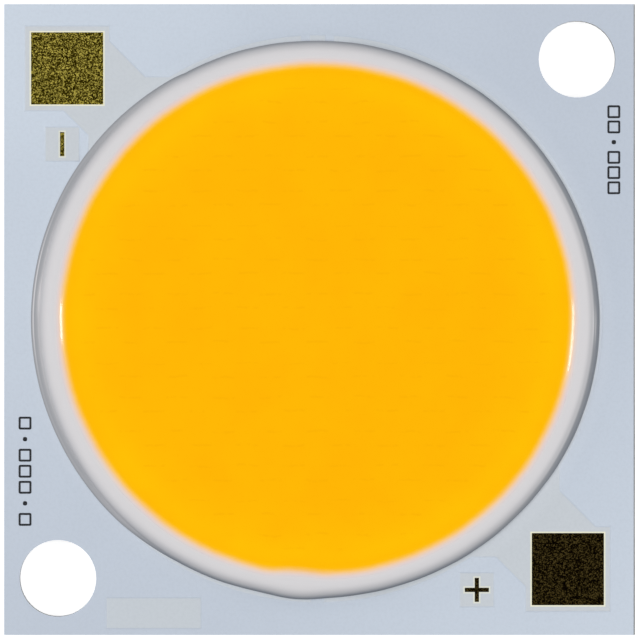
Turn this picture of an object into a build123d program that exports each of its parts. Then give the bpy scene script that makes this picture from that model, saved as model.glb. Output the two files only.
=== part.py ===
from build123d import *
from functools import lru_cache
import math
import os

# Chip-on-board light source: a square metal-core board with a round field of
# light-emitting dies, cast in phosphor gel inside a dispensed silicone dam.
# Millimetres, +Z up, origin at the middle of the board's underside. The pieces are drawn
# about the middle of the dam, and moved to that origin at the end.
# Minus is the top left corner (-X, +Y) and plus the bottom right (+X, -Y).

# Board
board_side = 28.0
plate_thickness = 1.0
sheet_thickness = 0.1
copper_thickness = 0.035
plating_thickness = 0.005    # nickel and gold on the bare copper
mask_thickness = 0.025
mask_side = 0.04             # the mask's width beside the top of the copper
mask_slope = 68.0            # its slope down to the sheet, off the vertical
board_shift = (0.09, -0.035)  # the middle of the cut outline off the dam's
sheared_margin = 0.06        # bare metal along the sheared right edge
screw_hole_diameter = 3.4
screw_hole_inset = 2.48      # from the hole's centre to both near edges of a centred outline

# Solder pads, one in each corner that has no screw hole
pad_inset = 2.89             # from the pad's centre to the same edges
pad_opening = 3.2
pad_border = 0.2             # copper that the mask covers around the opening

# Necks between pad and bus. Each has a flank that runs over the top or under the bottom
# of the ring and one that runs beside it: where it leaves the pad, from the pad's centre,
# and how far in from the bus's outermost line it meets the bus.
minus_neck_spread = (1.17, 0.12)
minus_neck_drop = (1.86, 2.41)
plus_neck_spread = (0.74, 1.2)
plus_neck_drop = (2.02, 1.84)

# Polarity marks, each an opening in the mask over its own copper
mark_patch_side = 1.35
mark_length = 1.07
mark_width = 0.19
minus_mark_shift = (-0.22, -3.36)   # from the minus pad's centre
plus_mark_shift = (-4.04, -0.92)    # from the plus pad's centre

# Blank copper patch under the mask, beside the bottom edge
patch_length = 4.04
patch_width = 1.2
patch_inset = (6.64, 0.97)   # from the bottom left corner to its centre

# Dam, a bead of round section that is laid from one start to one stop
dam_inset = 2.32             # from the middle of the bead to the same edges
bead_radius = 0.734
dam_height = 0.55            # crest above the mask on the bus
flat_sag = 0.026             # between a true circle and the flats round the bead's section
join_angle = 265.0
join_arc = 8.0               # full swelling
join_taper = 4.0             # at both ends of it
join_swell = 0.09
join_sink = 0.02             # how far the tapered ends lie inside the bead
creep_height = 0.11
creep_hump = 0.8             # share of that height that is left half way out
creep_start = 138.0
creep_end = 225.0
creep_overlap = 0.24         # how far the creep starts inside the bead

# Buses, the two copper half rings under the dam
bus_inner_reach = 0.96       # inwards from the middle of the bead
bus_outer_reach = 0.83       # outwards from there
bus_top_gap = 1.6
bus_bottom_gap = 0.72
island_width = 0.54
island_length = 0.78
window_reach = 0.22          # the mask's window, outwards from the bead's middle
sheet_lip = 0.3              # sheet inside the dam's foot

# Phosphor gel
gel_level = 0.4              # above the mask on the bus
meniscus_width = 0.98
meniscus_rise = 0.1

# Dies, in rows that come in close pairs
die_length = 1.15
die_width = 0.48
die_thickness = 0.12
die_gap = 0.92               # to the next die in the row
row_gap = 0.14               # within a pair
pair_gap = 0.424
array_shift = (0.0, 0.12)    # the middle of the rows off the dam's
die_edge_clearance = 0.1
fewest_dies = 4              # a row that has room for fewer is left out
linked_rows = 3              # short rows in series at the top and the bottom

# Bond wires
wire_size = 0.02
wire_loop = 0.1
bond_inset = 0.08            # from the end of the die to the bond
bus_bond_reach = 0.07        # from the bus's inner edge to the bond
span_decimals = 6            # spans that agree to this are equal

# Levels
sheet_top = plate_thickness + sheet_thickness
copper_top = sheet_top + copper_thickness
mask_top = copper_top + mask_thickness
die_top = plate_thickness + die_thickness
gel_top = mask_top + gel_level
bead_height = mask_top + dam_height - bead_radius
loop_top = die_top + wire_loop + wire_size

# Places
half_side = board_side / 2
hole_offset = half_side - screw_hole_inset
pad_offset = half_side - pad_inset
pad_copper = pad_opening + 2 * pad_border
dam_radius = half_side - dam_inset
bead_flats = math.ceil(math.pi / math.acos(1 - flat_sag / bead_radius))
bus_inner = dam_radius - bus_inner_reach
bus_outer = dam_radius + bus_outer_reach
bus_middle = (bus_inner + bus_outer) / 2
mask_window = dam_radius + window_reach
sheet_window = dam_radius - bead_radius - sheet_lip
die_limit = sheet_window - die_edge_clearance
die_pitch = die_length + die_gap
row_spacing = die_width + row_gap
pair_spacing = 2 * die_width + row_gap + pair_gap
pair_count = 2 * math.ceil(die_limit / pair_spacing)
minus_pad_centre = (-pad_offset, pad_offset)
plus_pad_centre = (pad_offset, -pad_offset)
minus_mark_centre = tuple(a + b for a, b in zip(minus_pad_centre, minus_mark_shift))
plus_mark_centre = tuple(a + b for a, b in zip(plus_pad_centre, plus_mark_shift))
board_corner = (board_shift[0] - half_side, board_shift[1] - half_side)
patch_centre = tuple(a + b for a, b in zip(board_corner, patch_inset))
island_centre = (0, bus_outer - island_length / 2)

# Sides of the board
LEFT = -1
RIGHT = 1


def layer(outline, bottom, thickness):
    """A flat layer with this outline, standing on the level given as its bottom."""
    return Pos(0, 0, bottom) * extrude(outline, thickness)


def screw_holes():
    """The outline of the two screw holes, on the diagonal without pads."""
    places = Locations((hole_offset, hole_offset), (-hole_offset, -hole_offset))
    return places * Circle(screw_hole_diameter / 2)


def board_cover():
    """The outline of what covers the plate: all of it but the sheared right edge."""
    trimmed = Pos(-sheared_margin / 2, 0) * Rectangle(board_side - sheared_margin, board_side)
    return Pos(*board_shift) * trimmed - screw_holes()


def base_plate():
    outline = Pos(*board_shift) * Rectangle(board_side, board_side) - screw_holes()
    return layer(outline, 0, plate_thickness)


def insulating_sheet():
    """The insulation under the copper, open where the dies sit on the bare plate."""
    outline = board_cover() - Circle(sheet_window)
    return layer(outline, plate_thickness, sheet_thickness)


def neck_flank(spread, drop):
    """The flank over the top of the ring, from the minus pad's side to the middle of the bus."""
    pad_side = pad_offset - pad_copper / 2
    leaving = pad_offset + spread
    shoulder = bus_outer - drop
    elbow = pad_side - (leaving - shoulder)
    meeting = math.sqrt(bus_middle**2 - shoulder**2)
    return [(-pad_side, leaving), (-elbow, shoulder), (-meeting, shoulder)]


def neck_outline(spreads, drops):
    """The copper between the minus pad and its bus. The flank beside the ring is the other
    one's kind, mirrored in the diagonal through the pads."""
    over = neck_flank(spreads[0], drops[0])
    beside = [(-y, -x) for x, y in reversed(neck_flank(spreads[1], drops[1]))]
    return make_face(Polyline(*over, *beside, (-pad_offset, pad_offset), close=True))


def bus_outline(side):
    """Half of the ring under the dam: the minus half is on the left, the plus on the right."""
    half = Polyline(
        (side * bus_top_gap / 2, board_side),
        (side * bus_top_gap / 2, 0),
        (side * bus_bottom_gap / 2, 0),
        (side * bus_bottom_gap / 2, -board_side),
        (side * board_side, -board_side),
        (side * board_side, board_side),
        close=True,
    )
    return (Circle(bus_outer) - Circle(bus_inner)) & make_face(half)


def pad_outline(centre):
    return Pos(*centre) * Rectangle(pad_copper, pad_copper)


def copper_outlines():
    """Every separate piece of copper on the sheet, by name."""
    minus_neck = neck_outline(minus_neck_spread, minus_neck_drop)
    plus_neck = Rot(0, 0, 180) * neck_outline(plus_neck_spread, plus_neck_drop)
    mark_patch = Rectangle(mark_patch_side, mark_patch_side)
    return {
        "minus_conductor": bus_outline(LEFT) + minus_neck + pad_outline(minus_pad_centre),
        "plus_conductor": bus_outline(RIGHT) + plus_neck + pad_outline(plus_pad_centre),
        "top_copper_island": Pos(*island_centre) * Rectangle(island_width, island_length),
        "minus_mark_copper": Pos(*minus_mark_centre) * mark_patch,
        "plus_mark_copper": Pos(*plus_mark_centre) * mark_patch,
        "blank_copper_patch": Pos(*patch_centre) * Rectangle(patch_length, patch_width),
    }


def bare_outlines():
    """Where the mask leaves copper bare outside the dam: both pads and both marks."""
    pad = Rectangle(pad_opening, pad_opening)
    bar = Rectangle(mark_width, mark_length)
    cross = bar + Rectangle(mark_length, mark_width)
    return {
        "minus_pad_plating": Pos(*minus_pad_centre) * pad,
        "plus_pad_plating": Pos(*plus_pad_centre) * pad,
        "minus_mark_plating": Pos(*minus_mark_centre) * bar,
        "plus_mark_plating": Pos(*plus_mark_centre) * cross,
    }


def solder_mask(outlines, coppers, bare):
    """A thin coat that follows the board and slopes up over each piece of copper. It is open
    over the bare copper and in a round window under the dam."""
    coat = layer(board_cover(), sheet_top, mask_thickness)
    height = copper_thickness + mask_thickness
    foot = mask_side + height * math.tan(math.radians(mask_slope))
    for outline in outlines.values():
        rise = extrude(offset(outline, foot, kind=Kind.INTERSECTION), height, taper=mask_slope)
        coat += Pos(0, 0, sheet_top) * rise
    openings = [layer(outline, sheet_top, dam_height) for outline in [Circle(mask_window), *bare]]
    return coat - openings - list(coppers.values())


def bead_section(radius):
    """The bead's section, standing in the XZ plane."""
    return Plane.XZ * (Pos(dam_radius, bead_height) * RegularPolygon(radius, bead_flats))


def dam_join():
    """The swelling where the bead's stop runs over its start, tapered at both ends."""
    full = join_arc / 2
    end = full + join_taper
    swollen = bead_section(bead_radius + join_swell)
    sunk = bead_section(bead_radius - join_sink)
    stations = [(-end, sunk), (-full, swollen), (0, swollen), (full, swollen), (end, sunk)]
    return loft([Rot(0, 0, join_angle + angle) * section for angle, section in stations], ruled=True)


def dam_creep():
    """The thin foot that has run out to the step of the bus on the left side."""
    start = dam_radius + bead_radius - creep_overlap
    middle = (start + bus_outer) / 2
    foot = Polyline((bus_outer, mask_top), (start, mask_top), (start, mask_top + creep_height))
    back = ThreePointArc(
        (start, mask_top + creep_height),
        (middle, mask_top + creep_height * creep_hump),
        (bus_outer, mask_top),
    )
    section = Plane.XZ * make_face([foot, back])
    return Rot(0, 0, creep_start) * revolve(section, Axis.Z, creep_end - creep_start)


def dam(layers):
    """The bead, cast over the stepped copper and mask beneath it."""
    ring = revolve(bead_section(bead_radius), Axis.Z)
    return ring + dam_join() + dam_creep() - layers


def row_shift(row):
    """Half a pitch or none. Rows come in fours, and every other four is the other way round."""
    return (row // 4 + row // 2 + row) % 2 * die_pitch / 2


def die_rows():
    """The centres of the dies in each row, from the top row down, left to right."""
    rows = []
    for row in range(2 * pair_count):
        pair, place = divmod(row, 2)
        middle = array_shift[0] + row_shift(row)
        y = array_shift[1] + ((pair_count - 1) / 2 - pair) * pair_spacing + (0.5 - place) * row_spacing
        corner = abs(y) + die_width / 2
        if corner >= die_limit:
            continue
        reach = math.sqrt(die_limit**2 - corner**2) - die_length / 2
        first = math.ceil((-reach - middle) / die_pitch)
        last = math.floor((reach - middle) / die_pitch)
        centres = [(n * die_pitch + middle, y) for n in range(first, last + 1)]
        if len(centres) >= fewest_dies:
            rows.append(centres)
    return rows


def die_strings():
    """The dies in series from the minus bus to the plus bus, as lists of rows."""
    rows = die_rows()
    top = rows[:linked_rows]
    bottom = rows[-linked_rows:]
    single = [[row] for row in rows[linked_rows:-linked_rows]]
    return [top] + single + [bottom]


def dies(string):
    """The dies of one string, each on the bare plate."""
    blank = Box(die_length, die_width, die_thickness)
    height = plate_thickness + die_thickness / 2
    return Compound(children=[Pos(x, y, height) * blank for row in string for x, y in row])


@lru_cache
def wire_blank(run, rise):
    """A wire from the origin along X, up to its loop and down to a bond at this run and rise."""
    half = run / 2
    foot = Plane.YZ * Polygon((-wire_size / 2, 0), (wire_size / 2, 0), (0, wire_size), align=None)
    up = extrude(foot, math.hypot(half, wire_loop), dir=(half, 0, wire_loop))
    fall = rise - wire_loop
    down = extrude(Pos(half, 0, wire_loop) * foot, math.hypot(half, fall), dir=(half, 0, fall))
    return up + down


def bond_wire(start, end):
    """The wire between two bonds. Equal spans are copies of one blank."""
    run = round(math.dist(start[:2], end[:2]), span_decimals)
    rise = round(end[2] - start[2], span_decimals)
    return Pos(*start) * (Rot(0, 0, heading(start, end)) * wire_blank(run, rise))


def heading(start, end):
    """The direction from one bond to the other on the board, in degrees."""
    return math.degrees(math.atan2(end[1] - start[1], end[0] - start[0]))


def bus_bond(y, side):
    """The bond on the left or right bus, level with a row."""
    reach = bus_inner + bus_bond_reach
    return (side * math.sqrt(reach**2 - y**2), y, copper_top)


def die_bond(centre, side):
    """The bond on a die's left or right end."""
    return (centre[0] + side * (die_length / 2 - bond_inset), centre[1], die_top)


def wire_ends(string):
    """The two bonds of each wire of a string. Linked rows run to and fro."""
    bonds = [bus_bond(string[0][0][1], LEFT)]
    for number, row in enumerate(string):
        way = LEFT if number % 2 else RIGHT
        for centre in row[::way]:
            bonds.append(die_bond(centre, -way))
            bonds.append(die_bond(centre, way))
    bonds.append(bus_bond(string[-1][0][1], RIGHT))
    return list(zip(bonds[0::2], bonds[1::2]))


def bond_wires(string):
    return Compound(children=[bond_wire(start, end) for start, end in wire_ends(string)])


def channel(row, width, top):
    """A straight channel from the plate to this level, from the row's first die to its last."""
    (left, y), (right, _) = row[0], row[-1]
    outline = Pos((left + right) / 2, y) * Rectangle(right - left + die_length, width)
    return layer(outline, plate_thickness, top - plate_thickness)


def die_channels(strings):
    """The room in the underside of the gel: for each row of dies a channel, and over it a slot
    for the wires between them."""
    rows = [row for string in strings for row in string]
    wide = [channel(row, die_width, die_top) for row in rows]
    narrow = [channel(row, wire_size, loop_top) for row in rows]
    return wide + narrow


def phosphor_gel(layers, bead, channels):
    """The gel, cast over the dies and up against the dam with a small meniscus."""
    outline = Polyline(
        (0, plate_thickness),
        (dam_radius, plate_thickness),
        (dam_radius, gel_top + meniscus_rise),
        (dam_radius - meniscus_width, gel_top),
        (0, gel_top),
        close=True,
    )
    pour = revolve(Plane.XZ * make_face(outline), Axis.Z)
    return pour - [*layers, bead, *channels]


def build():
    """Every piece of the light source, by name."""
    outlines = copper_outlines()
    bare = bare_outlines()
    coppers = {name: layer(outline, sheet_top, copper_thickness) for name, outline in outlines.items()}
    platings = {name: layer(outline, copper_top, plating_thickness) for name, outline in bare.items()}
    plate = base_plate()
    sheet = insulating_sheet()
    mask = solder_mask(outlines, coppers, bare.values())
    under_dam = ("minus_conductor", "plus_conductor", "top_copper_island")
    layers = [sheet, mask, *(coppers[name] for name in under_dam)]
    strings = die_strings()
    bead = dam([plate, *layers])
    pieces = {
        "base_plate": plate,
        "insulating_sheet": sheet,
        **coppers,
        **platings,
        "solder_mask": mask,
        "dam": bead,
        "phosphor_gel": phosphor_gel(layers, bead, die_channels(strings)),
    }
    for number, string in enumerate(strings, start=1):
        pieces[f"die_string_{number:02d}"] = dies(string)
        pieces[f"bond_wires_{number:02d}"] = bond_wires(string)
    return pieces


os.makedirs("parts", exist_ok=True)
to_origin = Pos(-board_shift[0], -board_shift[1])
for name, piece in build().items():
    export_step(to_origin * piece, f"parts/{name}.step")
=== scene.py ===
"""The looks of the chip-on-board light source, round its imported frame."""
import math

import bpy
import numpy as np
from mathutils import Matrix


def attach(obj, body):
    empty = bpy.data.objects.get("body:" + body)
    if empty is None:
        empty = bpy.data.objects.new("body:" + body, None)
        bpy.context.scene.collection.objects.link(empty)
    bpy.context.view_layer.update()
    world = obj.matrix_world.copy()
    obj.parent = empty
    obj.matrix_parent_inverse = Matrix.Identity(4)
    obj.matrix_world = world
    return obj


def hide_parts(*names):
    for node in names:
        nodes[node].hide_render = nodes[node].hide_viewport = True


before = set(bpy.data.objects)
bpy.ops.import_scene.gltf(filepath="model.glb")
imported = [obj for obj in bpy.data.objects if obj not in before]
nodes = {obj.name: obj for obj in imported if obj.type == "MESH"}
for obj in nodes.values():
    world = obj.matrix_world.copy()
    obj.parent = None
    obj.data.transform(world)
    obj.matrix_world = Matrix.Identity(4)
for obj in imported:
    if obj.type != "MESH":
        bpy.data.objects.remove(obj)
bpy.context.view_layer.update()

MM = 0.001

# Board, in millimetres
HALF_SIDE = 14.0
SHEET_TOP = 1.1
OPEN_MASK_TOP = 1.125        # where the mask lies on the sheet
MASK_TOP = 1.16              # where it lies on copper
PATTERN = (-0.09, 0.035)     # the middle of the copper, off the board's
BUS_EDGE = 12.55             # where the mask steps down beside the bus, from PATTERN
SLOPE_RUN = 0.15             # how far it takes to step down
PAD_OFFSET = 11.11
PAD_HALF = 1.6
MINUS_PAD = (PATTERN[0] - PAD_OFFSET, PATTERN[1] + PAD_OFFSET)
PLUS_PAD = (PATTERN[0] + PAD_OFFSET, PATTERN[1] - PAD_OFFSET)
MINUS_MARK = (MINUS_PAD[0] - 0.22, MINUS_PAD[1] - 3.36)
PLUS_MARK = (PLUS_PAD[0] - 4.04, PLUS_PAD[1] - 0.92)
MARK_LONG = 1.07 / 2
MARK_THIN = 0.19 / 2
# Openings in the mask: (middle, half width, half height, how strongly their edge shows)
OPENINGS = [
    (MINUS_PAD, PAD_HALF, PAD_HALF, 1.0),
    (PLUS_PAD, PAD_HALF, PAD_HALF, 1.0),
    (MINUS_MARK, MARK_THIN, MARK_LONG, 0.6),
    (PLUS_MARK, MARK_THIN, MARK_LONG, 0.6),
    (PLUS_MARK, MARK_LONG, MARK_THIN, 0.6),
]

# Dam and gel
BEAD_RADIUS = 0.734
BEAD_HEIGHT = 0.976          # of the middle of the bead's round section
CREEP_START = 9              # degrees of that section that the crept foot replaces
FOOT_RISE = 0.13             # from the crept foot's edge to the bead
FOOT_FILM = 0.006            # the crept foot's thickness at its edge
GEL_TOP = 1.56
GEL_BOTTOM = 1.15
FILM = 0.004                 # gel that wets the dam's flank
FILM_REACH = 0.3             # how far outside its edge it ends
GEL_SOFTNESS = 0.08          # rounding where the gel meets the flank
SECTORS = 720

# Dies under the gel
DIE_PITCH = 2.07
ARRAY_X = -0.1
FIRST_ROW_Y = 10.28
ROW_PERIOD = 6.096           # eight rows
PLAIN_ROWS = (0.0, 2.144, 3.668, 4.572)
SHIFTED_ROWS = (0.62, 1.524, 3.048, 5.192)

# Printed legend: side of a square and of a dot, width of the line, rounding of the corners
LEGEND_BOX = 0.48
LEGEND_DOT = 0.1
LEGEND_LINE = 0.09
LEGEND_CORNER = 0.03
INK_DEPTH = 0.004            # how far the ink goes into the mask
INK_RISE = 0.008             # how far it stands out of it


def linear(red, green, blue):
    """A display colour, 0 to 255, as the linear colour that a shader takes."""
    def channel(value):
        value /= 255
        return value / 12.92 if value <= 0.04045 else ((value + 0.055) / 1.055) ** 2.4
    return (channel(red), channel(green), channel(blue), 1.0)


class Finish:
    """A procedural material. Positions are in millimetres, in the object's own frame."""

    def __init__(self, name, roughness=0.5, specular=0.5, metallic=0.0):
        self.material = bpy.data.materials.new(name)
        self.material.use_nodes = True
        self.tree = self.material.node_tree
        self.shader = self.tree.nodes["Principled BSDF"]
        self.shader.inputs["Roughness"].default_value = roughness
        self.shader.inputs["Specular IOR Level"].default_value = specular
        self.shader.inputs["Metallic"].default_value = metallic
        coordinates = self.node("ShaderNodeTexCoord")
        scale = self.node("ShaderNodeVectorMath", operation="SCALE")
        self.link(coordinates.outputs["Object"], scale.inputs[0])
        scale.inputs["Scale"].default_value = 1 / MM
        self.place = scale.outputs[0]
        split = self.node("ShaderNodeSeparateXYZ")
        self.link(self.place, split.inputs[0])
        self.x, self.y, self.z = split.outputs

    def node(self, kind, **settings):
        made = self.tree.nodes.new(kind)
        for key, value in settings.items():
            setattr(made, key, value)
        return made

    def link(self, source, target):
        """Links a socket, or sets a plain value."""
        if isinstance(source, bpy.types.NodeSocket):
            self.tree.links.new(source, target)
        else:
            target.default_value = source

    def math(self, operation, *values, clamp=False):
        made = self.node("ShaderNodeMath", operation=operation, use_clamp=clamp)
        for value, target in zip(values, made.inputs):
            self.link(value, target)
        return made.outputs[0]

    def add(self, first, second, clamp=False):
        return self.math("ADD", first, second, clamp=clamp)

    def subtract(self, first, second, clamp=False):
        return self.math("SUBTRACT", first, second, clamp=clamp)

    def times(self, first, second):
        return self.math("MULTIPLY", first, second)

    def size(self, value):
        """The value without its sign."""
        return self.math("ABSOLUTE", value)

    def fade(self, value, start, end):
        """0 at start, 1 at end, smooth between them."""
        made = self.node("ShaderNodeMapRange", interpolation_type="SMOOTHSTEP")
        self.link(value, made.inputs["Value"])
        made.inputs["From Min"].default_value = min(start, end)
        made.inputs["From Max"].default_value = max(start, end)
        made.inputs["To Min"].default_value = 0.0 if start < end else 1.0
        made.inputs["To Max"].default_value = 1.0 if start < end else 0.0
        return made.outputs[0]

    def band(self, value, rise, fall):
        """1 between a rise and a fall, each a (start, end) pair, and 0 outside them."""
        return self.times(self.fade(value, *rise), self.fade(value, *fall))

    def noise(self, scale, detail=2.0, roughness=0.5, stretch=(1, 1, 1)):
        """Noise with this many features a millimetre."""
        squeeze = self.node("ShaderNodeMapping")
        self.link(self.place, squeeze.inputs["Vector"])
        squeeze.inputs["Scale"].default_value = stretch
        made = self.node("ShaderNodeTexNoise")
        self.link(squeeze.outputs[0], made.inputs["Vector"])
        made.inputs["Scale"].default_value = scale
        made.inputs["Detail"].default_value = detail
        made.inputs["Roughness"].default_value = roughness
        return made.outputs["Fac"]

    def cells(self, scale):
        """A random value in each of this many cells a millimetre."""
        made = self.node("ShaderNodeTexVoronoi")
        self.link(self.place, made.inputs["Vector"])
        made.inputs["Scale"].default_value = scale
        shade = self.node("ShaderNodeSeparateColor")
        self.link(made.outputs["Color"], shade.inputs[0])
        return shade.outputs[0]

    def ramp(self, value, stops):
        """Colours by value: stops are (position from 0 to 1, colour)."""
        made = self.node("ShaderNodeValToRGB")
        self.link(value, made.inputs[0])
        fill_ramp(made.color_ramp, stops)
        return made.outputs[0]

    def mix(self, factor, first, second, blend="MIX"):
        made = self.node("ShaderNodeMix", data_type="RGBA", blend_type=blend)
        self.link(factor, made.inputs[0])
        self.link(first, made.inputs[6])
        self.link(second, made.inputs[7])
        return made.outputs[2]

    def colour(self, value):
        self.link(value, self.shader.inputs["Base Color"])

    def roughness(self, value, low, high):
        made = self.node("ShaderNodeMapRange")
        self.link(value, made.inputs["Value"])
        made.inputs["To Min"].default_value = low
        made.inputs["To Max"].default_value = high
        self.link(made.outputs[0], self.shader.inputs["Roughness"])

    def bump(self, height, depth):
        """Relief: height from 0 to 1 stands for this depth in millimetres."""
        made = self.node("ShaderNodeBump")
        made.inputs["Strength"].default_value = 1.0
        made.inputs["Distance"].default_value = depth * MM
        self.link(height, made.inputs["Height"])
        self.link(made.outputs[0], self.shader.inputs["Normal"])

    def stored(self, name):
        """The value that the mesh keeps under this name."""
        return self.node("ShaderNodeAttribute", attribute_name=name).outputs["Fac"]

    def beside_box(self, centre, half_width, half_height, reach):
        """1 beside the outline of a box, fading out over this reach outside it."""
        across = self.size(self.subtract(self.x, centre[0]))
        along = self.size(self.subtract(self.y, centre[1]))
        outside = self.math(
            "MAXIMUM", self.subtract(across, half_width), self.subtract(along, half_height)
        )
        return self.fade(outside, reach, reach * 0.6)


def fill_ramp(ramp, stops):
    """Sets a colour ramp's stops, each a (position, colour) pair."""
    while len(ramp.elements) < len(stops):
        ramp.elements.new(1.0)
    for element, (position, colour) in zip(ramp.elements, stops):
        element.position = position
        element.color = colour


def mask_tone_and_painted_light(finish):
    """Slow drift of the mask's tone in patches, and painted light over the board: lighter towards the
    top left and bottom right corners, darker towards the other two, and lighter on the left.
    """
    # Painted light: lighter towards the top left and bottom right corners, darker towards the other
    # two, lighter on the left
    corner = finish.times(finish.times(finish.x, finish.y), -0.45 / HALF_SIDE**2)
    left = finish.times(finish.x, -0.12 / HALF_SIDE)
    drift = finish.add(finish.times(finish.noise(0.18, detail=3), 0.5), 0.08)
    return finish.add(drift, finish.add(corner, left), clamp=True)


def painted_step_shade(finish, from_middle):
    """Painted shade on the slope beside the copper: a faint dark line, stronger on the left near the
    dam.
    """
    rise = (OPEN_MASK_TOP + 0.003, OPEN_MASK_TOP + 0.013)
    fall = (MASK_TOP - 0.002, MASK_TOP - 0.012)
    slope = finish.band(finish.z, rise, fall)
    stronger_left = finish.times(finish.fade(finish.x, -9.0, -10.5), finish.fade(from_middle, 13.0, 12.8))
    return finish.times(slope, finish.add(0.1, finish.times(stronger_left, 0.23)))


def painted_light_round_dam(finish, from_middle):
    """Painted light that the dam throws on the mask round it: a narrow rim and a wide halo."""
    rim = finish.times(finish.fade(from_middle, 12.68, 12.44), finish.fade(finish.x, -10.5, -9.0))
    dull = finish.band(finish.x, (0.5, 2.5), (10.5, 8.5))
    rim = finish.times(rim, finish.subtract(1.0, dull))
    sideways = finish.fade(finish.size(finish.x), 1.0, 8.0)
    wide = finish.times(finish.fade(from_middle, 13.3, 12.5), sideways)
    return finish.add(finish.times(rim, 0.2), finish.times(wide, 0.14))


def mask_finish():
    """White solder mask, cool and satin, a little warmer and paler over the copper."""
    finish = Finish("white_mask", specular=0.35)
    # cloud carries the mask's tone drift and its painted light
    cloud = mask_tone_and_painted_light(finish)
    open_colour = finish.mix(cloud, linear(189, 198, 211), linear(203, 213, 225))
    over_copper = finish.mix(cloud, linear(195, 202, 209), linear(199, 204, 209))
    level = finish.fade(finish.z, OPEN_MASK_TOP + 0.022, MASK_TOP - 0.004)
    body = finish.mix(level, open_colour, over_copper)
    from_middle = finish.math(
        "SQRT", finish.add(finish.math("POWER", finish.x, 2.0), finish.math("POWER", finish.y, 2.0))
    )
    # Painted shade: a dark line on the mask's slope beside the copper
    body = finish.mix(painted_step_shade(finish, from_middle), body, linear(110, 120, 132))
    # Painted light round the dam: a pale rim and a wide halo on the mask
    body = finish.mix(painted_light_round_dam(finish, from_middle), body, linear(236, 241, 249))
    border = 0.0
    for centre, half_width, half_height, strength in OPENINGS:
        beside = finish.beside_box(centre, half_width, half_height, 0.08)
        border = finish.math("MAXIMUM", border, finish.times(beside, strength))
    body = finish.mix(border, body, linear(233, 232, 208))
    grain = finish.noise(7.0, detail=3, roughness=0.6)
    duller = finish.mix(0.06, body, linear(120, 130, 140))
    finish.colour(finish.mix(finish.fade(grain, 0.35, 0.75), body, duller))
    finish.roughness(grain, 0.32, 0.5)
    finish.bump(finish.noise(2.2, detail=4, roughness=0.55), 0.004)
    return finish.material


def plating_finish(name, dark, middle, light):
    """Gold on coarse copper: a fine crystalline grain of dull and bright flecks."""
    finish = Finish(name, metallic=0.75, specular=0.0)
    coarse = finish.noise(1.5, detail=3, roughness=0.6)
    grain = finish.add(finish.times(coarse, 0.12), finish.times(finish.cells(24.0), 0.88))
    finish.colour(finish.ramp(grain, [(0.15, dark), (0.5, middle), (0.9, light)]))
    finish.roughness(coarse, 0.42, 0.7)
    finish.bump(grain, 0.02)
    return finish.material


def copper_finish():
    """Rolled copper foil, plated gold where the mask is open."""
    finish = Finish("plated_copper", metallic=1.0)
    grain = finish.noise(6.0, detail=4, roughness=0.6)
    finish.colour(finish.mix(grain, linear(150, 118, 45), linear(196, 164, 78)))
    finish.roughness(grain, 0.35, 0.55)
    finish.bump(grain, 0.004)
    return finish.material


def aluminium_finish():
    """Rolled aluminium sheet: fine lines along the rolling direction, torn grain on the cut edges."""
    finish = Finish("rolled_aluminium", metallic=0.9)
    lines = finish.noise(9.0, detail=4, roughness=0.65, stretch=(1.0, 0.03, 1.0))
    patches = finish.noise(0.35, detail=3)
    torn = finish.noise(5.0, detail=5, roughness=0.7, stretch=(1.0, 1.0, 0.25))
    geometry = finish.node("ShaderNodeNewGeometry")
    facing = finish.node("ShaderNodeSeparateXYZ")
    finish.link(geometry.outputs["True Normal"], facing.inputs[0])
    edge = finish.subtract(1.0, finish.size(facing.outputs[2]), clamp=True)
    relief = finish.add(
        finish.times(lines, finish.times(finish.subtract(1.0, edge), 0.12)),
        finish.times(torn, finish.times(edge, 2.5)),
    )
    flat = finish.mix(lines, linear(176, 179, 182), linear(206, 208, 210))
    duller = finish.mix(0.25, flat, linear(150, 153, 158))
    flat = finish.mix(finish.fade(patches, 0.45, 0.7), flat, duller)
    cut = finish.mix(torn, linear(120, 122, 125), linear(196, 198, 200))
    finish.colour(finish.mix(edge, flat, cut))
    finish.roughness(lines, 0.32, 0.5)
    finish.bump(relief, 0.008)
    return finish.material


def sheet_finish():
    """Filled epoxy, matt and greenish grey, as its cut edge shows."""
    finish = Finish("insulation", roughness=0.7, specular=0.3)
    grain = finish.noise(9.0, detail=4)
    finish.colour(finish.mix(grain, linear(166, 168, 156), linear(196, 198, 188)))
    finish.bump(grain, 0.004)
    return finish.material


def die_finish():
    """Sapphire with a fine pattern on it."""
    finish = Finish("die_sapphire", specular=0.6)
    pattern = finish.noise(4.0, detail=2)
    finish.colour(finish.mix(pattern, linear(150, 170, 190), linear(196, 208, 220)))
    finish.roughness(pattern, 0.1, 0.25)
    return finish.material


def wire_finish():
    """Drawn gold."""
    finish = Finish("bond_gold", metallic=1.0)
    grain = finish.noise(20.0, detail=2)
    finish.colour(finish.mix(grain, linear(214, 170, 84), linear(240, 204, 120)))
    finish.roughness(grain, 0.25, 0.4)
    return finish.material


def ink_finish():
    """Black legend ink, matt and a little uneven."""
    finish = Finish("legend_ink", roughness=0.6, specular=0.3)
    grain = finish.noise(14.0, detail=3)
    finish.colour(finish.mix(grain, linear(18, 20, 24), linear(46, 48, 54)))
    finish.bump(grain, 0.003)
    return finish.material


# Colours across the gel's edge: (millimetres outside it, colour)
EDGE_COLOURS = [
    (-3.0, linear(255, 184, 0)),
    (-1.6, linear(255, 187, 0)),
    (-0.8, linear(255, 191, 0)),
    (-0.5, linear(255, 190, 0)),
    (-0.3, linear(255, 188, 0)),
    (-0.17, linear(254, 189, 9)),
    (-0.08, linear(252, 193, 57)),
    (0.0, linear(250, 200, 109)),
    (0.09, linear(241, 206, 165)),
    (0.19, linear(227, 209, 199)),
    (0.3, linear(217, 211, 211)),
    (0.42, linear(212, 210, 212)),
]


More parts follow.
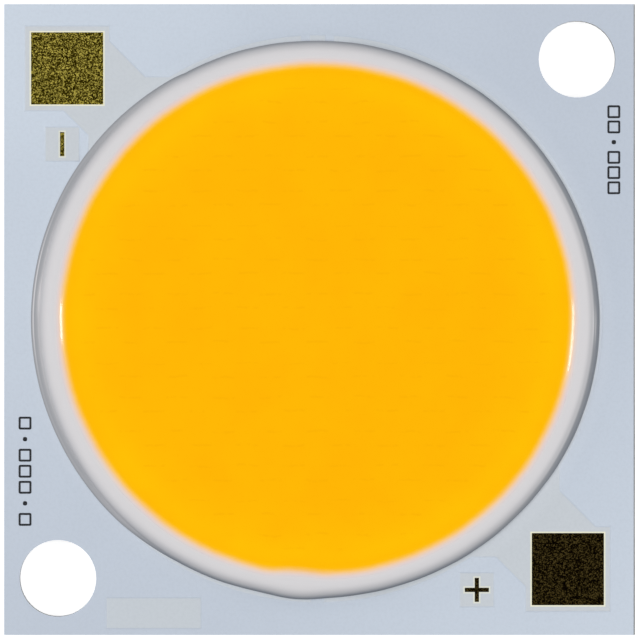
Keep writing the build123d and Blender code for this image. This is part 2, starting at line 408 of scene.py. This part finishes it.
def edge_ramp(finish, distance):
    """The colour at this distance outside the gel's edge."""
    first, last = EDGE_COLOURS[0][0], EDGE_COLOURS[-1][0]
    span = last - first
    value = finish.math("DIVIDE", finish.subtract(distance, first), span, clamp=True)
    return finish.ramp(value, [((place - first) / span, colour) for place, colour in EDGE_COLOURS])


def row_distance(finish, down, rows):
    """The distance to the nearest of these rows, which repeat with the period."""
    nearest = None
    for row in rows:
        away = finish.size(finish.subtract(down, row))
        nearest = away if nearest is None else finish.math("MINIMUM", nearest, away)
    return nearest


def die_shadows(finish):
    """Faint short lines in the gel, where the wires between the dies lie under it."""
    drift = finish.times(finish.subtract(finish.noise(0.9, detail=2), 0.5), 0.32)
    down = finish.subtract(FIRST_ROW_Y, finish.add(finish.y, drift))
    down = finish.math("WRAP", down, ROW_PERIOD, 0.0)
    across = finish.subtract(finish.x, ARRAY_X)
    lines = []
    for rows, shift in ((PLAIN_ROWS, DIE_PITCH / 2), (SHIFTED_ROWS, 0.0)):
        along = finish.math("PINGPONG", finish.add(across, shift), DIE_PITCH / 2)
        thin = finish.fade(row_distance(finish, down, rows), 0.075, 0.02)
        lines.append(finish.times(thin, finish.fade(along, 0.56, 0.4)))
    broken = finish.fade(finish.noise(2.6, detail=2), 0.36, 0.56)
    return finish.times(finish.math("MAXIMUM", *lines), broken)


def gel_finish():
    """Silicone full of yellow phosphor, paler where it thins out over the dam's flank."""
    finish = Finish("phosphor_silicone", specular=0.25)
    distance = finish.stored("outside")
    wander = finish.times(finish.subtract(finish.noise(2.5, detail=3), 0.5), 0.06)
    body = edge_ramp(finish, finish.add(distance, wander))
    cloud = finish.fade(finish.noise(0.45, detail=4, roughness=0.6), 0.3, 0.75)
    deeper = finish.mix(1.0, body, linear(255, 244, 255), "MULTIPLY")
    body = finish.mix(finish.times(cloud, 0.45), body, deeper)
    inside = finish.fade(distance, -0.6, -1.2)
    dark = finish.times(die_shadows(finish), finish.times(inside, 0.45))
    finish.colour(finish.mix(dark, body, linear(250, 173, 0)))
    clear = finish.band(distance, (0.0, 0.05), (0.13, 0.09))
    finish.roughness(clear, 0.22, 0.07)
    finish.bump(finish.noise(0.8, detail=2), 0.002)
    return finish.material


def dam_finish():
    """White silicone, smooth, warm where the gel's light bleeds into its inner flank, with painted
    shade and painted highlights along its outer edge.
    """
    finish = Finish("dam_silicone", specular=0.25)
    soft = finish.noise(1.1, detail=3)
    body = edge_ramp(finish, finish.stored("outside"))
    body = finish.mix(finish.times(soft, 0.12), body, linear(200, 201, 206))
    # Painted shade and painted highlights: the stored shade darkens the colour towards a dark blue
    # grey
    flank = finish.subtract(1.0, finish.stored("shade"))
    finish.colour(finish.mix(flank, body, linear(0, 48, 70)))
    finish.roughness(soft, 0.45, 0.6)
    finish.bump(finish.noise(1.6, detail=3), 0.006)
    return finish.material


def dress(names, material):
    """Gives these frame nodes this material all over."""
    for name in names:
        slots = nodes[name].data.materials
        slots.clear()
        slots.append(material)


def new_piece(name, points, faces, material, smooth=True):
    """A mesh from points in millimetres, riding with the board."""
    mesh = bpy.data.meshes.new(name)
    mesh.from_pydata([tuple(p) for p in np.asarray(points) * MM], [], faces)
    mesh.materials.append(material)
    if smooth:
        mesh.shade_smooth()
    piece = bpy.data.objects.new(name, mesh)
    bpy.context.collection.objects.link(piece)
    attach(piece, "root")
    return piece


steps = np.arange(SECTORS)
degrees = steps * 360 / SECTORS
bearing = steps * 2 * np.pi / SECTORS


def round_table(pairs, softness):
    """A value for every sector, smoothly through (degrees, value) pairs."""
    places, given = zip(*pairs)
    values = np.interp(degrees, places, given, period=360)
    kernel = np.hanning(2 * softness + 1)
    kernel /= kernel.sum()
    wrapped = np.concatenate([values[-softness:], values, values[:softness]])
    return np.convolve(wrapped, kernel, "valid")


def bell(centre, half_width):
    """1 at this bearing, 0 beyond the half width, in degrees, for every sector."""
    away = np.abs((degrees - centre + 180) % 360 - 180) / half_width
    return np.where(away < 1, 0.5 + 0.5 * np.cos(np.pi * np.minimum(away, 1)), 0.0)


def hump(value, middle, width):
    """1 where the value is at the middle, falling off on both sides over about this width."""
    return np.exp(-(((value - middle) / width) ** 2))


# The gel's edge, the bead's outer foot and the edge of the foot that has crept out on the left,
# from the board's centre. The bead's stop runs over its start near 265 degrees.
gel_edge = round_table([
    (0, 11.18), (15, 11.21), (45, 11.225), (67.5, 11.255), (90, 11.285), (112.5, 11.325),
    (135, 11.385), (165, 11.4), (195, 11.405), (210, 11.365), (225, 11.345), (240, 11.315),
    (250, 11.295), (257.5, 11.295), (259, 11.28), (260.5, 11.23), (262, 11.18), (264.5, 11.14),
    (266.5, 11.14), (268, 11.16), (269.5, 11.195), (271, 11.225), (273, 11.24), (280, 11.245),
    (300, 11.215), (315, 11.205), (337.5, 11.18),
], 4)
outer_foot = round_table([
    (0, 12.425), (15, 12.42), (30, 12.385), (45, 12.365), (60, 12.34), (75, 12.35), (90, 12.37),
    (105, 12.43), (120, 12.465), (150, 12.48), (210, 12.46), (240, 12.46), (250.6, 12.41),
    (256.3, 12.375), (259.2, 12.39), (262.1, 12.44), (264.9, 12.455), (267.6, 12.435),
    (270.4, 12.38), (273.3, 12.345), (279, 12.33), (285, 12.325), (300, 12.337), (315, 12.36),
    (330, 12.405), (345, 12.435),
], 4)
creep_edge = round_table([
    (115, 12.3), (120, 12.52), (135, 12.63), (150, 12.725), (165, 12.79), (180, 12.81),
    (195, 12.79), (210, 12.725), (225, 12.645), (240, 12.46), (245, 12.3),
], 6)
gel_edge += 0.006 * np.sin(17 * bearing) + 0.005 * np.sin(31 * bearing + 1)
outer_foot += 0.004 * np.sin(13 * bearing + 2) + 0.003 * np.sin(41 * bearing)
foot_edge = np.maximum(outer_foot, creep_edge)

# How high the bead swells at the join, and how it is stretched between its crest and its foot
swell = 1 + 0.06 * bell(266.0, 9.0) - 0.02 * bell(256.5, 3.5) - 0.02 * bell(275.5, 3.5)
contact_reach = math.sqrt(BEAD_RADIUS**2 - (GEL_TOP - BEAD_HEIGHT) ** 2)
foot_reach = math.sqrt(BEAD_RADIUS**2 - (MASK_TOP - BEAD_HEIGHT) ** 2)
crest = gel_edge + contact_reach
outer_stretch = (outer_foot - crest) / foot_reach
creep = np.minimum(1, 2.2 * bell(180.0, 62.0))
bus_edge = BUS_EDGE + PATTERN[0] * np.cos(bearing) + PATTERN[1] * np.sin(bearing)


def mask_level(radius):
    """The height of the mask round the dam, at this radius for every sector."""
    return np.interp((radius - bus_edge) / SLOPE_RUN, [0, 1], [MASK_TOP, OPEN_MASK_TOP])


def around(radius, height):
    """A ring of points with this radius and height for every sector."""
    radius = np.broadcast_to(radius, (SECTORS,))
    height = np.broadcast_to(height, (SECTORS,))
    return np.stack([radius * np.cos(bearing), radius * np.sin(bearing), height], axis=1)


def ring_faces(rings, closed):
    """Quads between rings that follow one another, closed into a tube or open."""
    faces = []
    for ring in range(rings if closed else rings - 1):
        base, above = ring * SECTORS, (ring + 1) % rings * SECTORS
        for step in range(SECTORS):
            after = (step + 1) % SECTORS
            faces.append((base + step, base + after, above + after, above + step))
    return faces


def store(piece, name, values):
    """Keeps one value for each point of the mesh, for its material."""
    layer = piece.data.attributes.new(name, "FLOAT", "POINT")
    layer.data.foreach_set("value", np.asarray(values, np.float32))


def reach_outside(rings):
    """How far each point of these rings lies outside the gel's edge."""
    return [np.hypot(ring[:, 0], ring[:, 1]) - gel_edge for ring in rings]


# Painted shade near the silicone's outer edge: how much of its colour it keeps there, as
# (millimetres inside the edge, share). One table is for the plain bead, one for the foot that has
# crept out, and one for the right, counted from RIGHT_FOOT.
FLANK_SHADE = [
    (0, 0.36), (0.03, 0.38), (0.065, 0.45), (0.11, 0.58), (0.165, 0.7), (0.265, 0.825),
    (0.365, 0.916), (0.465, 0.975), (0.65, 1.0),
]
CREEP_SHADE = [
    (0, 0.46), (0.04, 0.48), (0.075, 0.56), (0.12, 0.55), (0.15, 0.5), (0.2, 0.53),
    (0.27, 0.6), (0.33, 0.74), (0.42, 0.87), (0.54, 0.96), (0.65, 1.0),
]
RIGHT_SHADE = [
    (0, 0.33), (0.075, 0.33), (0.125, 0.4), (0.185, 0.41), (0.22, 0.46), (0.25, 0.62),
    (0.275, 0.76), (0.32, 0.79), (0.375, 0.79), (0.425, 0.86), (0.475, 0.93), (0.55, 1.0),
]
RIGHT_FOOT = 12.425
EDGE_ZONE = 0.12             # the part of the plain bead's table that is stretched by painted_shade_reach

# Painted light and painted shade in streaks along the flank, and painted highlights in the glints:
# (share, middle and half width in degrees, where, width). The first ones lie at a distance from the
# board's centre, the others at one inside the foot's edge.
BEAD_PAINTED_STREAKS = [
    (0.07, 157, 35, 12.43, 0.05), (0.03, 143, 20, 12.33, 0.1), (-0.14, 228, 16, 12.4, 0.045),
    (-0.05, 230, 22, 12.22, 0.13), (0.08, 225, 15, 12.6, 0.06),
]
BEAD_GLINTS = [(0.45, 358.7, 6, 0.175, 0.02), (0.25, 358.7, 6, 0.275, 0.025)]
CREEP_PAINTED_STREAKS = [(0.05, 165, 35, 12.44, 0.045)]
CREEP_GLINTS = [(0.6, 175, 22, 0.1, 0.02), (0.18, 175.5, 6, 0.31, 0.075)]

# How dark the painted shade at the plain bead's edge is, and how far it reaches in
painted_shade_depth = round_table([
    (0, 1.05), (45, 1.06), (60, 1.1), (75, 0.97), (90, 0.9), (110, 0.92), (215, 1.0),
    (230, 1.08), (255, 1.17), (280, 1.2), (300, 1.12), (315, 1.0), (330, 1.05),
], 10)
painted_shade_reach = round_table([
    (0, 1.5), (15, 1.7), (30, 1.5), (45, 1.2), (60, 1.05), (90, 1.0), (285, 1.1), (300, 1.25),
    (315, 1.5), (330, 1.8), (345, 1.7),
], 10)
right_band = np.minimum(1, 2 * bell(0, 56))


def streaks(table, place):
    """The sum of these painted streaks at this place for every sector."""
    return sum(
        share * bell(centre, half_width) * hump(place, middle, width)
        for share, centre, half_width, middle, width in table
    )


def flank_shade(rings):
    """The painted shade and painted highlights of each point of these rings."""
    shades = []
    for ring in rings:
        radius = np.hypot(ring[:, 0], ring[:, 1])
        inside = foot_edge - radius
        narrow = np.where(
            inside < EDGE_ZONE * painted_shade_reach, inside / painted_shade_reach, inside - EDGE_ZONE * (painted_shade_reach - 1)
        )
        bead = 1 - (1 - np.interp(narrow, *zip(*FLANK_SHADE))) * painted_shade_depth
        banded = np.interp(RIGHT_FOOT - radius, *zip(*RIGHT_SHADE))
        bead = bead * (1 - right_band) + banded * right_band
        bead += streaks(BEAD_PAINTED_STREAKS, radius) + streaks(BEAD_GLINTS, inside)
        crept = np.interp(inside, *zip(*CREEP_SHADE))
        crept += streaks(CREEP_PAINTED_STREAKS, radius) + streaks(CREEP_GLINTS, inside)
        shades.append(bead * (1 - creep) + crept * creep)
    return shades


def bead_surface(radius):
    """The bead's height over the board at this radius for every sector, low where it isn't."""
    away = (radius - crest) / BEAD_RADIUS
    rise = np.sqrt(np.maximum(0, 1 - away**2)) * BEAD_RADIUS * swell
    return BEAD_HEIGHT + rise


def make_dam(material):
    """The bead: a closed tube of round section, with a thin foot that has crept out on the left."""
    first = math.degrees(math.asin((MASK_TOP - BEAD_HEIGHT) / BEAD_RADIUS))
    rings = [around(foot_edge, SHEET_TOP)]
    for part in np.linspace(0, 1, 25)[:-1]:
        angle = math.radians(first + CREEP_START * part)
        end = crest + outer_stretch * BEAD_RADIUS * math.cos(angle)
        radius = foot_edge + (end - foot_edge) * part
        film = mask_level(radius) + FOOT_FILM + FOOT_RISE * part**1.6
        plain = BEAD_HEIGHT + BEAD_RADIUS * math.sin(angle) * swell
        rise = film + (plain - MASK_TOP - FOOT_RISE) * part**4
        rings.append(around(radius, plain * (1 - creep) + rise * creep))
    for angle in np.radians(np.linspace(first + CREEP_START, 180 - first, 60)):
        stretch = outer_stretch if angle < math.pi / 2 else 1.0
        radius = crest + stretch * BEAD_RADIUS * math.cos(angle)
        rings.append(around(radius, BEAD_HEIGHT + BEAD_RADIUS * math.sin(angle) * swell))
    rings.append(around(crest - foot_reach, SHEET_TOP))
    piece = new_piece("dam_bead", np.concatenate(rings), ring_faces(len(rings), True), material)
    store(piece, "outside", np.concatenate(reach_outside(rings)))
    # Painted shade and painted highlights for the dam's material
    store(piece, "shade", np.concatenate(flank_shade(rings)))
    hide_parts("dam")


def make_gel(material):
    """The gel: flat in the middle, up the dam's flank at the edge, thinning out on it."""
    rings = []
    offsets = [-10.6, -9, -7.5, -6, -4.5, -3, -2, -1.4, -1.0, -0.8, -0.65, -0.52]
    offsets += list(np.linspace(-0.44, FILM_REACH, 32))
    for offset in offsets:
        radius = gel_edge + offset
        flank = bead_surface(radius) + FILM * (1 - max(0, offset) / FILM_REACH)
        gap = GEL_TOP - flank
        softness = GEL_SOFTNESS * min(1, max(0, offset + 0.5) / 0.4)
        level = (GEL_TOP + flank + np.sqrt(gap**2 + softness**2)) / 2
        settle = min(1, max(0, offset / FILM_REACH)) ** 2
        rings.append(around(radius, level * (1 - settle) + flank * settle))
    # The hidden underside, through the bead and under the flat middle
    rings.append(around(gel_edge + FILM_REACH + 0.02, bead_surface(gel_edge + FILM_REACH) - 0.05))
    rings.append(around(gel_edge - 0.1, GEL_BOTTOM + 0.05))
    rings.append(around(10.6, GEL_BOTTOM))
    points = np.concatenate(rings)
    middle = len(points)
    faces = ring_faces(len(rings), False)
    faces += [(middle, step, (step + 1) % SECTORS)[::-1] for step in range(SECTORS)]
    last = (len(rings) - 1) * SECTORS
    faces += [
        (middle + 1, last + (step + 1) % SECTORS, last + step)[::-1] for step in range(SECTORS)
    ]
    points = np.concatenate([points, [(0, 0, GEL_TOP), (0, 0, GEL_BOTTOM)]])
    piece = new_piece("gel_pour", points, faces, material)
    store(piece, "outside", np.concatenate([*reach_outside(rings), (-11, -11)]))
    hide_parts("phosphor_gel")


def stroke(path, width, base, height):
    """The points and faces of a printed stroke that follows a closed path on the mask."""
    path = np.asarray(path, float)
    run = np.roll(path, -1, axis=0) - np.roll(path, 1, axis=0)
    run /= np.linalg.norm(run, axis=1)[:, None]
    side = np.stack([-run[:, 1], run[:, 0]], axis=1) * width / 2
    count = len(path)
    corners = [
        np.column_stack([path + side * sign, np.full(count, level)])
        for sign, level in ((1, base), (1, height), (-1, height), (-1, base))
    ]
    faces = []
    for step in range(count):
        after = (step + 1) % count
        for band in range(4):
            low, high = band * count, (band + 1) % 4 * count
            faces.append((low + step, low + after, high + after, high + step))
    return np.concatenate(corners), faces


def rounded_square(centre, side, corner):
    """An upright square with rounded corners."""
    path = []
    reach = side / 2 - corner
    for quarter, (sign_x, sign_y) in enumerate(((1, 1), (-1, 1), (-1, -1), (1, -1))):
        for turn in np.radians(np.linspace(0, 90, 5) + 90 * quarter):
            path.append((
                centre[0] + sign_x * reach + corner * math.cos(turn),
                centre[1] + sign_y * reach + corner * math.sin(turn),
            ))
    return path


def make_legend(name, start, kinds, pitch, material):
    """A plain row of squares and dots down the edge, where such boards carry a printed code."""
    sides = {"box": LEGEND_BOX, "dot": LEGEND_DOT}
    base, height = OPEN_MASK_TOP - INK_DEPTH, OPEN_MASK_TOP + INK_RISE
    points, faces = np.zeros((0, 3)), []
    for number, kind in enumerate(kinds):
        centre = (start[0], start[1] - (number + 0.5) * pitch)
        path = rounded_square(centre, sides[kind], LEGEND_CORNER)
        made, bands = stroke(path, LEGEND_LINE, base, height)
        faces += [tuple(index + len(points) for index in band) for band in bands]
        points = np.concatenate([points, made])
    new_piece(name, points, faces, material, smooth=False)


def make_floor():
    """A plain white floor that keeps a weak shadow of the board."""
    material = bpy.data.materials.new("studio_floor")
    material.use_nodes = True
    tree = material.node_tree
    shader = tree.nodes["Principled BSDF"]
    shader.inputs["Base Color"].default_value = (0.86, 0.86, 0.86, 1)
    shader.inputs["Roughness"].default_value = 0.9
    shader.inputs["Specular IOR Level"].default_value = 0.0
    seen = tree.nodes.new("ShaderNodeLightPath")
    glow = tree.nodes.new("ShaderNodeEmission")
    add = tree.nodes.new("ShaderNodeAddShader")
    strength = tree.nodes.new("ShaderNodeMath")
    strength.operation = "MULTIPLY"
    strength.inputs[1].default_value = 0.6
    tree.links.new(seen.outputs["Is Camera Ray"], strength.inputs[0])
    tree.links.new(strength.outputs[0], glow.inputs["Strength"])
    tree.links.new(shader.outputs[0], add.inputs[0])
    tree.links.new(glow.outputs[0], add.inputs[1])
    tree.links.new(add.outputs[0], tree.nodes["Material Output"].inputs["Surface"])
    mesh = bpy.data.meshes.new("floor")
    reach = 0.6
    corners = [(-reach, -reach, 0), (reach, -reach, 0), (reach, reach, 0), (-reach, reach, 0)]
    mesh.from_pydata(corners, [], [(0, 1, 2, 3)])
    mesh.materials.append(material)
    floor = bpy.data.objects.new("floor", mesh)
    bpy.context.collection.objects.link(floor)


def make_world():
    """A white tent of soft light, open and dark straight above, plain white to the camera."""
    world = bpy.data.worlds.new("studio")
    bpy.context.scene.world = world
    world.use_nodes = True
    tree = world.node_tree
    place = tree.nodes.new("ShaderNodeTexCoord")
    split = tree.nodes.new("ShaderNodeSeparateXYZ")
    dome = tree.nodes.new("ShaderNodeValToRGB")
    seen = tree.nodes.new("ShaderNodeLightPath")
    mix = tree.nodes.new("ShaderNodeMix")
    mix.data_type = "RGBA"
    tree.links.new(place.outputs["Generated"], split.inputs[0])
    tree.links.new(split.outputs[2], dome.inputs[0])
    levels = [(0.0, 0.3), (0.25, 0.69), (0.5, 1.0), (0.93, 1.04), (0.965, 0.0)]
    fill_ramp(dome.color_ramp, [(height, (level, level, level, 1)) for height, level in levels])
    tree.links.new(seen.outputs["Is Camera Ray"], mix.inputs[0])
    tree.links.new(dome.outputs[0], mix.inputs[6])
    mix.inputs[7].default_value = (1, 1, 1, 1)
    tree.links.new(mix.outputs[2], tree.nodes["Background"].inputs["Color"])


def make_softbox(name, direction, elevation, power, width, height):
    """An area light, in metres and watts, that looks at the board's middle from this direction."""
    data = bpy.data.lights.new(name, "AREA")
    data.shape = "RECTANGLE"
    data.size = width
    data.size_y = height
    data.energy = power
    light = bpy.data.objects.new(name, data)
    reach = 0.3
    turn, rise = math.radians(direction), math.radians(elevation)
    flat = reach * math.cos(rise)
    light.location = (flat * math.cos(turn), flat * math.sin(turn), reach * math.sin(rise))
    light.rotation_euler = (math.pi / 2 - rise, 0, turn + math.pi / 2)
    bpy.context.collection.objects.link(light)


def make_camera():
    """Straight above, with a long lens, as in the photograph."""
    data = bpy.data.cameras.new("camera")
    data.sensor_width = 36.0
    distance = 0.5
    seen_width = 0.0284
    aim = (0.00002, -0.00002)
    data.lens = data.sensor_width * distance / seen_width
    data.clip_start = 0.01
    camera = bpy.data.objects.new("camera", data)
    camera.location = (*aim, distance + MASK_TOP * MM)
    bpy.context.collection.objects.link(camera)
    bpy.context.scene.camera = camera


# Materials on the frame's own nodes
dress(["solder_mask"], mask_finish())
copper_ends = ("_conductor", "_copper", "_island", "_patch")
dress([name for name in nodes if name.endswith(copper_ends)], copper_finish())
dress(["base_plate"], aluminium_finish())
dress(["insulating_sheet"], sheet_finish())
# Both pads carry the same gold; their colours differ only by painted light and shade, much darker on
# the plus pad
dress(
    ["minus_pad_plating", "minus_mark_plating"],
    plating_finish("gold_grain_minus", linear(26, 20, 0), linear(74, 64, 8), linear(194, 179, 82)),
)
dress(
    ["plus_pad_plating", "plus_mark_plating"],
    plating_finish("gold_grain_plus_painted_shade", linear(2, 0, 0), linear(18, 12, 2), linear(80, 68, 35)),
)
dress([name for name in nodes if name.startswith("die_string")], die_finish())
dress([name for name in nodes if name.startswith("bond_wires")], wire_finish())

# Silicone and ink
make_dam(dam_finish())
make_gel(gel_finish())
ink = ink_finish()
make_legend("legend_right", (13.06, 9.56), ["box", "box", "dot", "box", "box", "box"], 0.675, ink)
make_legend(
    "legend_left", (-13.07, -4.24), ["box", "dot", "box", "box", "box", "dot", "box"], 0.712, ink
)

# Studio
bpy.context.scene.view_settings.view_transform = "Standard"
make_floor()
make_world()
make_softbox("softbox_left", 175.8, 47, 0.12, 0.055, 0.04)
make_softbox("softbox_right", 0.5, 47, 0.08, 0.026, 0.04)
make_camera()
